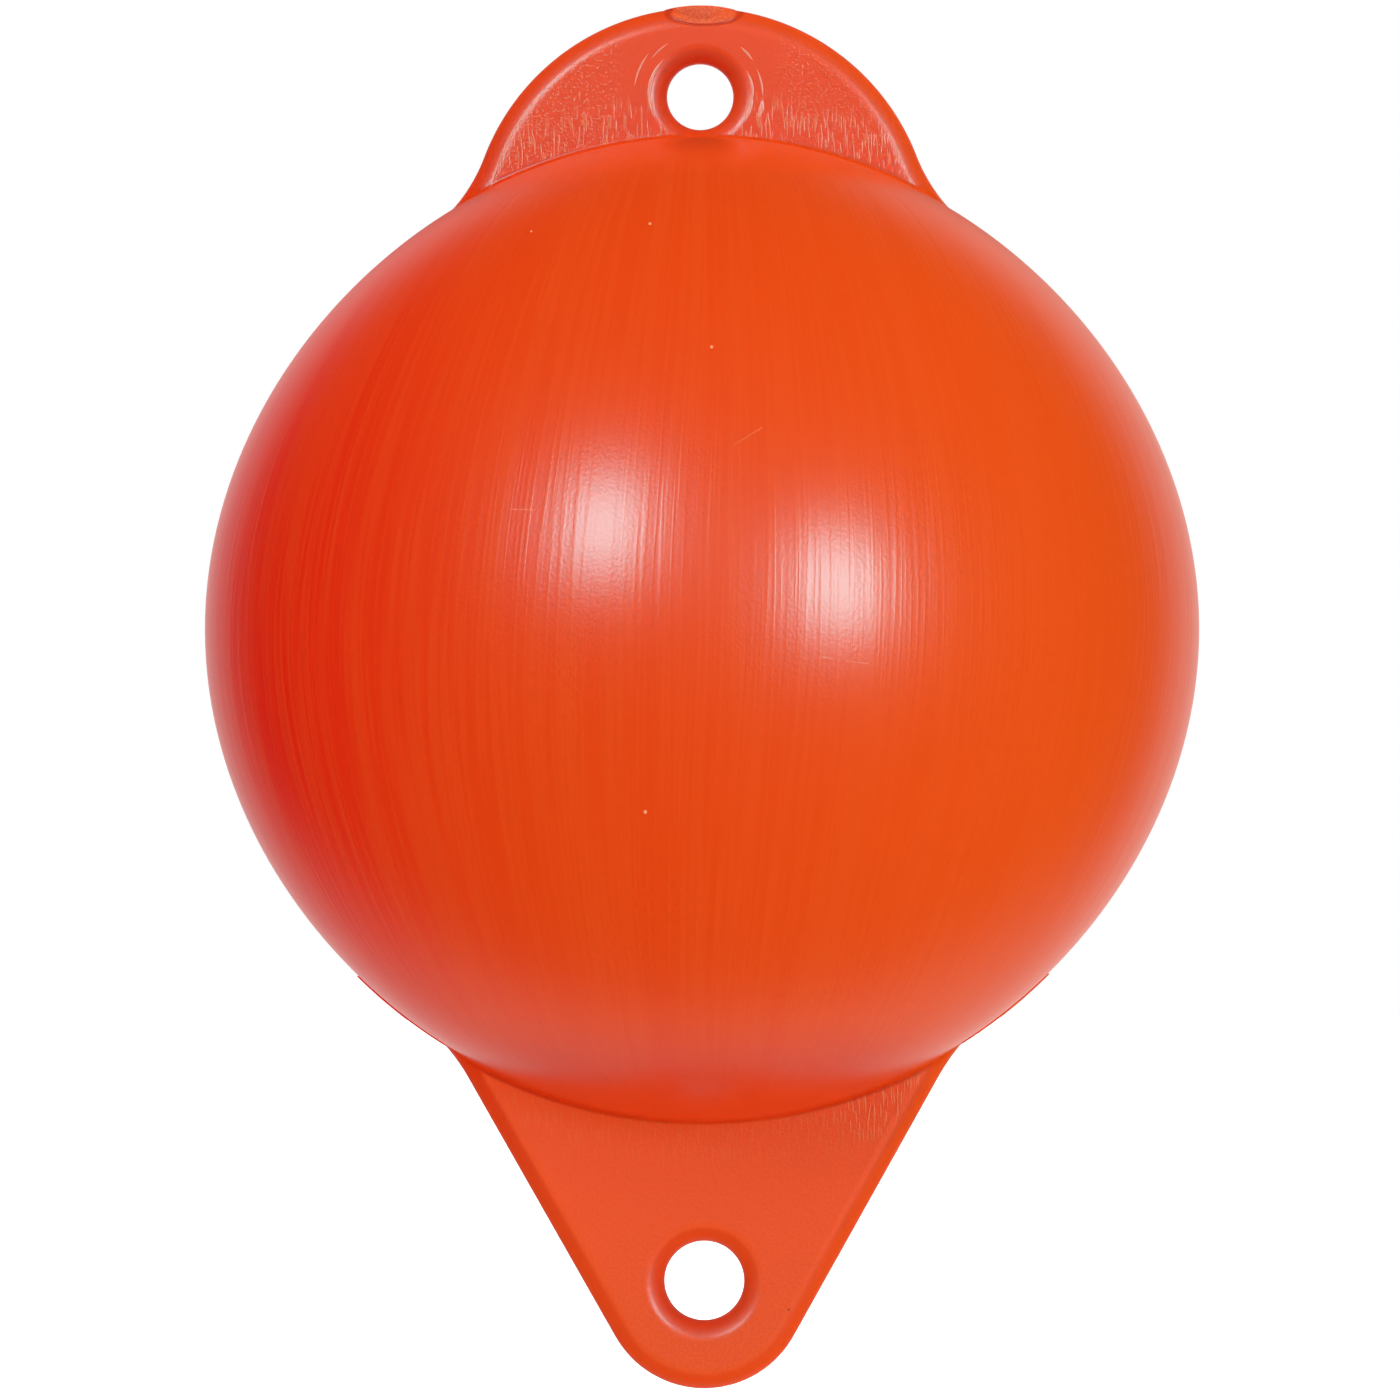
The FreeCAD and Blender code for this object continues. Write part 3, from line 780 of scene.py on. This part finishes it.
class FloatSurface(Tree):
    """The moulding's places, in millimetres about the ball's centre, and what lies at each."""

    def __init__(self, material):
        super().__init__(material)
        self.find_places()
        self.find_parts()
        self.find_patterns()
        self.find_marks()

    def find_places(self):
        """Where a place is, and how far from the centre, the axis, the equator and the plane."""
        place = self.node("ShaderNodeTexCoord")
        scaled = self.node("ShaderNodeVectorMath", operation="MULTIPLY_ADD")
        self.feed(scaled.inputs[0], place.outputs["Object"])
        self.feed(scaled.inputs[1], (1 / MM, 1 / MM, 1 / MM))
        self.feed(scaled.inputs[2], (0, 0, EYE_RISE))
        self.place = scaled.outputs[0]
        split = self.node("ShaderNodeSeparateXYZ")
        self.feed(split.inputs[0], self.place)
        self.x, self.y, self.z = split.outputs
        length = self.node("ShaderNodeVectorMath", operation="LENGTH")
        self.feed(length.inputs[0], self.place)
        self.away = length.outputs["Value"]
        self.aside = self.unsigned(self.x)
        self.depth = self.unsigned(self.y)
        self.height = self.unsigned(self.z)

    def find_parts(self):
        """Masks of the front, the upper half, the lugs, their faces, the seam and the open ball."""
        self.front = self.math("LESS_THAN", self.y, 0.0)
        self.upper = self.math("GREATER_THAN", self.z, 0.0)
        off_waist = self.ramp(self.height, *LUG_HEIGHT)
        self.on_lug = self.product(self.ramp(self.away, *LUG_AWAY), off_waist)
        self.on_face = self.product(self.on_lug, self.ramp(self.depth, *FACE_DEPTH))
        self.off_lug = self.rest(self.on_lug)
        self.seam = self.fade(self.depth, *SEAM_DEPTH)
        off_poles = self.strongest((self.ramp(self.depth, *BALL_DEPTH),
                                    self.fade(self.height, *BALL_HEIGHT)))
        self.open_ball = self.product(off_poles, self.off_lug)

    def find_patterns(self):
        """The noise of the die lines, the orange peel, the lugs' grain and their streaks."""
        across = self.across_the_lines()
        self.broad, self.middle, self.fine = [self.lines(across, *line) for line in DIE_LINES]
        self.peel = self.noise(self.place, PEEL_WAVES, dimensions="3D")
        self.grain = self.noise(self.vector(self.x, self.sum(self.y, self.z)), GRAIN_WAVES)
        right, up = STREAK_WAVES
        self.short = self.noise(self.vector(self.product(self.x, right), self.product(self.z, up)))

    def across_the_lines(self):
        """How far round the ball a place is: the die lines run across it, up the blown tube."""
        height = self.unsigned(self.product(self.z, 1 / BALL_RADIUS))
        spread = self.product(self.math("POWER", height, 4.0), LINES_SPREAD)
        turn = self.math("ARCTAN2", self.x, self.sum(self.depth, spread))
        return self.weighted((turn, BALL_RADIUS), (self.z, LINES_LEAN), (self.front, LINES_ON_FRONT))

    def lines(self, across, fineness, length, seed):
        """Noise drawn out along the die lines."""
        along = self.sum(self.product(self.z, 1 / length), seed)
        return self.noise(self.vector(self.product(across, fineness), along))

    def find_marks(self):
        """Masks of what marks the lugs, the trimmed stub and the front."""
        self.streaks = self.lug_streaks()
        self.dots = self.lug_dots()
        self.strokes = self.eye_strokes()
        self.rim_highlight = self.painted_rim_highlight()
        self.trim, self.groove = self.trimmed_stub()
        self.scratches = self.strongest(self.scratch(*scratch) for scratch in SCRATCHES)
        self.pale_specks = self.strongest(self.speck(*speck) for speck in PALE_SPECKS)
        self.dark_specks = self.strongest(self.speck(*speck) for speck in DARK_SPECKS)

    def lug_streaks(self):
        """Short streaks on the faces next to the ball, on the lower one mostly to the right."""
        marked = self.mix(self.upper, self.ramp(self.x, *STREAK_SIDE, 0.3), 1.0)
        near_ball = self.product(self.fade(self.away, *STREAK_AWAY), self.on_face, marked)
        return self.product(self.ramp(self.short, 0.56, 0.72), near_ball)

    def lug_dots(self):
        """Dots on the upper face on both sides of the eye, clearest on the left."""
        dots = self.ramp(self.grain, 0.64, 0.78)
        beside_eye = self.ramp(self.aside, *DOT_ASIDE)
        on_left = self.fade(self.x, *DOT_SIDE)
        return self.product(dots, self.on_face, self.upper, beside_eye, on_left)

    def eye_strokes(self):
        """Curved strokes beside the upper eye along the rim of its mouth, a slight relief and a
        painted glint.
        """
        height = self.minus(self.z, UPPER_EYE[0])
        radius = self.flat_length(self.x, height)
        turn = self.math("ARCTAN2", height, self.aside)
        right = self.math("GREATER_THAN", self.x, 0.0)
        marks = []
        for side, strokes in ((right, RIGHT_STROKES), (self.rest(right), LEFT_STROKES)):
            marks += [self.product(side, self.arc(radius, turn, *stroke)) for stroke in strokes]
        return self.product(self.strongest(marks), self.front)

    def arc(self, radius, turn, middle, half, ring, width):
        """A mask of a stroke along a ring round the upper eye, thinner towards its ends."""
        past = self.product(self.apart(turn, math.radians(middle)), 1 / math.radians(half))
        off = self.product(self.apart(radius, ring), 1 / width)
        return self.fade(self.sum(off, self.product(past, past)), 0.5, 1.0)

    def painted_rim_highlight(self):
        """A painted highlight along the inner edge of the crown's rim, with a slight relief,
        clearest on the left.
        """
        radius = self.flat_length(self.x, self.minus(self.z, CROWN_CENTRE[1]))
        line = self.fade(self.apart(radius, RIM_RADIUS), *RIM_EDGE)
        on_left = self.fade(self.x, *RIM_SIDE)
        beside_stub = self.ramp(self.aside, *RIM_ASIDE)
        foot = self.ramp(self.z, *RIM_FOOT_RISE)
        top = self.fade(self.z, *RIM_TOP_RISE)
        near_face = self.ramp(self.depth, *RIM_DEPTH)
        return self.product(line, on_left, beside_stub, foot, top, near_face)

    def trimmed_stub(self):
        """Masks of the trimmed stub's face on the crown and of the groove round it."""
        across, up = [self.math("DIVIDE", off, half)
                      for off, half in zip(self.offset(TRIM_MIDDLE), TRIM_HALF)]
        reach = self.flat_length(across, up)
        return self.fade(reach, 0.86, 1.0), self.fade(self.apart(reach, TRIM_GROOVE), 0.02, 0.14)

    def offset(self, middle):
        """How far to the right and up a place lies from one in the parting plane."""
        return self.minus(self.x, middle[0]), self.minus(self.z, middle[1])

    def scratch(self, start, end, width):
        """A mask of a straight scratch on the front, between two places of the parting plane."""
        a = np.array(start)
        b = np.array(end)
        length = float(np.linalg.norm(b - a))
        right, rise = ((b - a) / length).tolist()
        across, up = self.offset(start)
        run = self.weighted((across, right), (up, rise))
        off = self.unsigned(self.weighted((across, -rise), (up, right)))
        past = self.strongest((self.minus(run, length), self.product(run, -1.0)))
        reach = self.sum(off, self.product(past, 0.5))
        return self.product(self.fade(reach, width * SCRATCH_CORE, width), self.front)

    def speck(self, place, radius):
        """A mask of a round speck on the front."""
        reach = self.flat_length(*self.offset(place))
        return self.product(self.fade(reach, radius * SPECK_CORE, radius), self.front)

    def relief(self):
        """How far each place stands up, in millimetres."""
        ridges = self.ramp(self.fine, 0.56, 0.74)
        lines = self.weighted(
            (self.broad, 0.030),
            (self.middle, 0.02),
            (self.fine, 0.012),
            (ridges, 0.006))
        average = 0.034
        return self.weighted(
            (self.minus(lines, average), self.open_ball),
            (self.peel, 0.015),
            (self.streaks, 0.02),
            (self.dots, 0.015),
            (self.strokes, 0.03),
            (self.rim_highlight, 0.02),
            (self.product(self.grain, self.on_lug), self.mix(self.upper, 0.013, 0.006)),
            (self.seam, 0.05),
            (self.product(self.trim, self.grain), 0.1),
            (self.groove, -0.12))

    def colour(self):
        """The ball's colour, the lugs' faces over it, and the marks over both."""
        # Painted shade and light: the ball is redder on the left and more orange on the right.
        colour = self.blend(self.ramp(self.x, LEFT_SIDE, MIDDLE_SIDE), LEFT_SHADE_RED, MIDDLE_RED)
        colour = self.blend(self.ramp(self.x, MIDDLE_SIDE, RIGHT_SIDE), colour, RIGHT_LIT_ORANGE)
        cloud = self.weighted((self.broad, 0.3), (self.middle, 0.3), (self.fine, 0.4))
        cloud = self.product(self.ramp(cloud, 0.38, 0.62, 0.0, 0.24), self.open_ball)
        colour = self.blend(cloud, colour, CLOUD_ORANGE)
        # Painted light: the lugs' faces are brighter than the ball, the lower one more so towards
        # the root, against the ball's shade.
        lower = self.blend(self.ramp(self.z, TIP_RISE, ROOT_RISE), TIP_ORANGE, ROOT_LIT_ORANGE)
        lower = self.blend(self.ramp(self.grain, 0.35, 0.65, 0.0, 0.3), lower, GRAIN_ORANGE)
        face = self.blend(self.upper, lower, CROWN_LIT_ORANGE)
        colour = self.blend(self.product(self.on_face, 0.9), colour, face)
        # Painted shade: the ball darkens to crimson just above the lower crease, near the axis.
        near_axis = self.fade(self.aside, *CREASE_SHADE_ASIDE)
        crease = self.product(self.off_lug, self.ramp(self.z, *CREASE_SHADE_RISE, 0.5, 0.0), near_axis)
        # Painted glints: the streaks and dots stand up a little in the relief and are painted paler
        # here.
        painted_glints = self.math("MAXIMUM", self.streaks, self.product(self.dots, 0.8))
        torn = self.product(self.trim, self.ramp(self.grain, 0.35, 0.65, 0.1, 0.5))
        for share, mark in (
                (crease, CREASE_SHADE_CRIMSON),
                (self.product(painted_glints, 0.5), GLINT_PALE),
                # Painted glint on the strokes beside the upper eye.
                (self.product(self.strokes, 0.75), STROKE_GLINT_PALE),
                # Painted highlight along the crown's rim.
                (self.product(self.rim_highlight, 0.35), RIM_HIGHLIGHT_PALE),
                (torn, TORN_ORANGE),
                # Painted shade in the groove round the stub.
                (self.product(self.groove, 0.6), GROOVE_SHADE_DARK),
                (self.product(self.scratches, 0.28), SCRATCH_PALE),
                (self.product(self.pale_specks, 0.7), SPECK_PALE),
                (self.product(self.dark_specks, 0.7), SPECK_DARK)):
            colour = self.blend(share, colour, mark)
        return colour

    def roughness(self):
        """Gloss, duller on the lugs' rims and on the trimmed stub."""
        rim = self.minus(self.on_lug, self.on_face)
        return self.sum(GLOSS_ROUGHNESS, self.product(rim, 0.20), self.product(self.trim, 0.2))


def float_material():
    """Orange-red blown polyethylene: die lines, a grained skin on the lugs, scratches, specks, and
    painted glints, highlights and shade.
    """
    material = bpy.data.materials.new("float_plastic")
    surface = FloatSurface(material)
    bump = surface.node("ShaderNodeBump")
    surface.feed(bump.inputs["Strength"], 1.0)
    surface.feed(bump.inputs["Distance"], MM)
    surface.feed(bump.inputs["Height"], surface.relief())
    shader = surface.node("ShaderNodeBsdfPrincipled")
    surface.feed(shader.inputs["Base Color"], surface.colour())
    surface.feed(shader.inputs["Roughness"], surface.roughness())
    surface.feed(shader.inputs["Normal"], bump.outputs["Normal"])
    shader.inputs["IOR"].default_value = REFRACTIVE_INDEX
    shader.inputs["Specular IOR Level"].default_value = REFLECTIVITY
    output = surface.node("ShaderNodeOutputMaterial")
    surface.feed(output.inputs["Surface"], shader.outputs["BSDF"])
    return material


# The studio. Its backdrop and its dim room are shares of white. Each lamp has a name, the way to it
# from the ball, and a power; each fill a name, a way, a share of white and a spread in degrees.
BACKDROP = 0.56
BACKDROP_MIDDLE = 0.44
BACKDROP_BELOW = 0.41
DIM_ROOM = 0.01
LAMP_DISTANCE = 1.2
LAMP_SIZE = (0.20, 0.48)
LAMP_COLOUR = (0.27, 0.93, 1.0)
LEFT_LAMP = (-0.35, -0.83, 0.405)
RIGHT_LAMP = (0.50, -0.85, 0.174)
LAMPS = (("lamp_left", LEFT_LAMP, 4.3), ("lamp_right", RIGHT_LAMP, 4.7))
FILLS = (("key_left", LEFT_LAMP, 0.05, 14),
         ("key_right", RIGHT_LAMP, 0.02, 14),
         ("fill_high", (-0.5, -0.7, 0.5), 0.22, 60),
         ("fill_left", (-1, -0.1, 0.1), 0.33, 80),
         ("fill_right", (1, -0.1, 0.05), 0.66, 80),
         ("fill_top", (0, -0.32, 0.95), 0.69, 80),
         ("fill_front", (0, -0.72, -0.69), 0.37, 60),
         ("fill_low", (0.1, -0.27, -0.95), 0.45, 80),
         ("fill_back", (0, 1, 0.1), 0.45, 80))
FLOOR_HEIGHT = -0.3
FLOOR_REACH = 4.0
FLOOR_PAPER = (0.9, 0.9, 0.9, 1)
FLOOR_GLOW = 0.62
WHITE = (1, 1, 1, 1)


def make_world():
    """White to the camera, and to the object a pale backdrop behind and below, in a dim room."""
    world = bpy.data.worlds.new("studio")
    bpy.context.scene.world = world
    t = Tree(world)
    place = t.node("ShaderNodeTexCoord")
    split = t.node("ShaderNodeSeparateXYZ")
    t.feed(split.inputs[0], place.outputs["Generated"])
    x, y, z = split.outputs
    to_the_right = t.sum(y, t.product(x, 0.05))
    overhead = t.product(t.ramp(z, 0.04, 0.2), t.fade(t.unsigned(x), 0.08, 0.28))
    behind = t.sum(t.ramp(to_the_right, 0.66, 0.86, 0.0, BACKDROP),
                   t.ramp(y, 0.92, 0.97, 0.0, BACKDROP_MIDDLE))
    behind = t.sum(t.product(behind, t.rest(overhead)), DIM_ROOM)
    slope_down = t.minus(t.product(y, 0.8), t.product(z, 0.6))
    below = t.product(t.ramp(slope_down, 0.6, 0.95, 0.0, BACKDROP_BELOW), t.fade(y, 0.5, 0.8, 0.6))
    room = t.math("MAXIMUM", behind, below)
    path = t.node("ShaderNodeLightPath")
    seen = t.math("MAXIMUM", path.outputs["Is Camera Ray"], path.outputs["Is Transmission Ray"])
    background = t.node("ShaderNodeBackground")
    background.inputs["Color"].default_value = WHITE
    t.feed(background.inputs["Strength"], t.mix(seen, room, 1.0))
    output = t.node("ShaderNodeOutputWorld")
    t.feed(output.inputs["Surface"], background.outputs[0])


def place_light(name, light, direction):
    """A light that shines on the float from a direction."""
    item = bpy.data.objects.new(name, light)
    bpy.context.scene.collection.objects.link(item)
    away = Vector(direction).normalized()
    item.location = BALL_CENTRE + away * LAMP_DISTANCE
    item.rotation_euler = away.to_track_quat("Z", "Y").to_euler()
    return item


def make_lamp(name, direction, power):
    """A small soft lamp that only the gloss shows. The key light of its side lights the rest."""
    lamp = bpy.data.lights.new(name, "AREA")
    lamp.shape = "ELLIPSE"
    lamp.size, lamp.size_y = LAMP_SIZE
    lamp.energy = power
    lamp.color = LAMP_COLOUR
    item = place_light(name, lamp, direction)
    item.visible_diffuse = False


def make_fill(name, direction, strength, spread):
    """Plain light from one side, at this share of white, which the gloss doesn't show."""
    lamp = bpy.data.lights.new(name, "SUN")
    lamp.energy = strength * math.pi
    lamp.angle = math.radians(spread)
    lamp.cycles.use_multiple_importance_sampling = False
    item = place_light(name, lamp, direction)
    item.visible_glossy = False


def make_floor():
    """A pale floor below the hanging float: white to the camera, with the float's shadow on it."""
    mesh = bpy.data.meshes.new("floor")
    corners = ((-1, -1), (1, -1), (1, 1), (-1, 1))
    places = [(x * FLOOR_REACH, y * FLOOR_REACH, FLOOR_HEIGHT) for x, y in corners]
    mesh.from_pydata(places, [], [(0, 1, 2, 3)])
    item = bpy.data.objects.new("floor", mesh)
    bpy.context.scene.collection.objects.link(item)
    material = bpy.data.materials.new("floor_paper")
    t = Tree(material)
    paper = t.node("ShaderNodeBsdfDiffuse")
    paper.inputs["Color"].default_value = FLOOR_PAPER
    path = t.node("ShaderNodeLightPath")
    glow = t.node("ShaderNodeEmission")
    glow.inputs["Color"].default_value = WHITE
    t.feed(glow.inputs["Strength"], t.product(path.outputs["Is Camera Ray"], FLOOR_GLOW))
    both = t.node("ShaderNodeAddShader")
    t.feed(both.inputs[0], paper.outputs[0])
    t.feed(both.inputs[1], glow.outputs[0])
    output = t.node("ShaderNodeOutputMaterial")
    t.feed(output.inputs["Surface"], both.outputs[0])
    mesh.materials.append(material)
    item.visible_diffuse = False
    item.visible_glossy = False
    item.visible_shadow = False


def make_camera():
    """The photograph's view: level with the float, square to its parting plane."""
    camera = bpy.data.cameras.new("camera")
    item = bpy.data.objects.new("camera", camera)
    bpy.context.scene.collection.objects.link(item)
    camera.sensor_width = SENSOR_WIDTH
    camera.lens = PIXELS_PER_MM * CAMERA_DISTANCE / MM * SENSOR_WIDTH / PHOTO_WIDTH
    camera.clip_start = 0.05
    camera.clip_end = 50
    right = (PHOTO_WIDTH / 2 - PHOTO_CENTRE[0]) / PIXELS_PER_MM * MM
    down = (PHOTO_WIDTH / 2 - PHOTO_CENTRE[1]) / PIXELS_PER_MM * MM
    item.location = BALL_CENTRE + Vector((right, -CAMERA_DISTANCE, -down))
    item.rotation_mode = "XYZ"
    item.rotation_euler = (math.pi / 2, CAMERA_ROLL, 0)
    bpy.context.scene.camera = item


make_camera()
make_world()
for lamp in LAMPS:
    make_lamp(*lamp)
for fill in FILLS:
    make_fill(*fill)
make_floor()

plastic = float_material()
moulding = make_moulding()
moulding.data.materials.append(plastic)
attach(moulding, "root")
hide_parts("float_body")

bpy.context.scene.view_settings.view_transform = "Standard"
